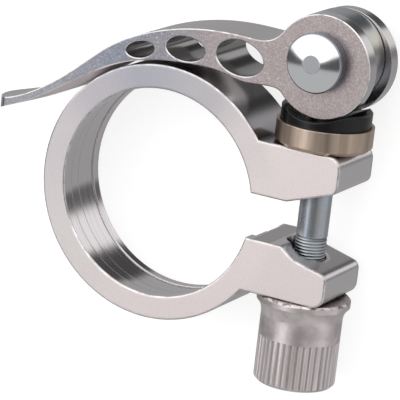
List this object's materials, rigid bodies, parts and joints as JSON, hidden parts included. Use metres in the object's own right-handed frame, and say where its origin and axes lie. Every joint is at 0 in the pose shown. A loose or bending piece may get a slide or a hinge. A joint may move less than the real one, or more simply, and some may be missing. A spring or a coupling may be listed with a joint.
{
  "type": "quick-release seatpost clamp",
  "caption": "Slit collar for a bicycle seat tube, drawn closed by a pierced cam lever on an eye bolt with a fluted thumb nut; the lip on the collar stops on the tube's end.",
  "frame": {"origin": "on the seat-tube axis, at the middle of the collar's width", "axes": "+Z along the seat-tube axis towards the lip, +X through the slit to the ears, +Y along the bolt towards the lever"},
  "size_m": [0.0657, 0.0602, 0.0166],
  "materials": {
    "collar_aluminium": "satin",
    "lever_aluminium": "bead blasted",
    "pin_chrome": "polished",
    "bolt_zinc": "zinc plated",
    "saddle_plastic": "moulded",
    "cup_bronze": "satin",
    "nut_aluminium": "satin"
  },
  "bodies": {
    "collar": {"collar": "collar_aluminium"},
    "cam_seat": {"cup_washer": "cup_bronze", "saddle_washer": "saddle_plastic"},
    "skewer": {"eye_bolt": "bolt_zinc"},
    "lever": {"lever": "lever_aluminium", "pivot_pin": "pin_chrome"},
    "nut": {"thumb_nut": "nut_aluminium"}
  },
  "joints": [
    {"name": "swivel", "type": "hinge", "parent": "collar", "child": "cam_seat", "pos_m": [0.02485, 0.0122, 0], "axis": [0, 1, 0], "continuous": true},
    {"name": "cam_release", "type": "slide", "parent": "cam_seat", "child": "skewer", "axis": [0, -1, 0], "range_m": [0, 0.0006]},
    {"name": "lever_swing", "type": "hinge", "parent": "skewer", "child": "lever", "pos_m": [0.02485, 0.02625, 0], "axis": [0, 0, -1], "range_deg": [0, 180]},
    {"name": "nut_turn", "type": "hinge", "parent": "skewer", "child": "nut", "pos_m": [0.02485, -0.0122, 0], "axis": [0, 1, 0], "continuous": true}
  ],
  "couplings": [
    {"joint": "cam_release", "follows": "lever_swing", "m_per_rad": 0.00019098}
  ]
}
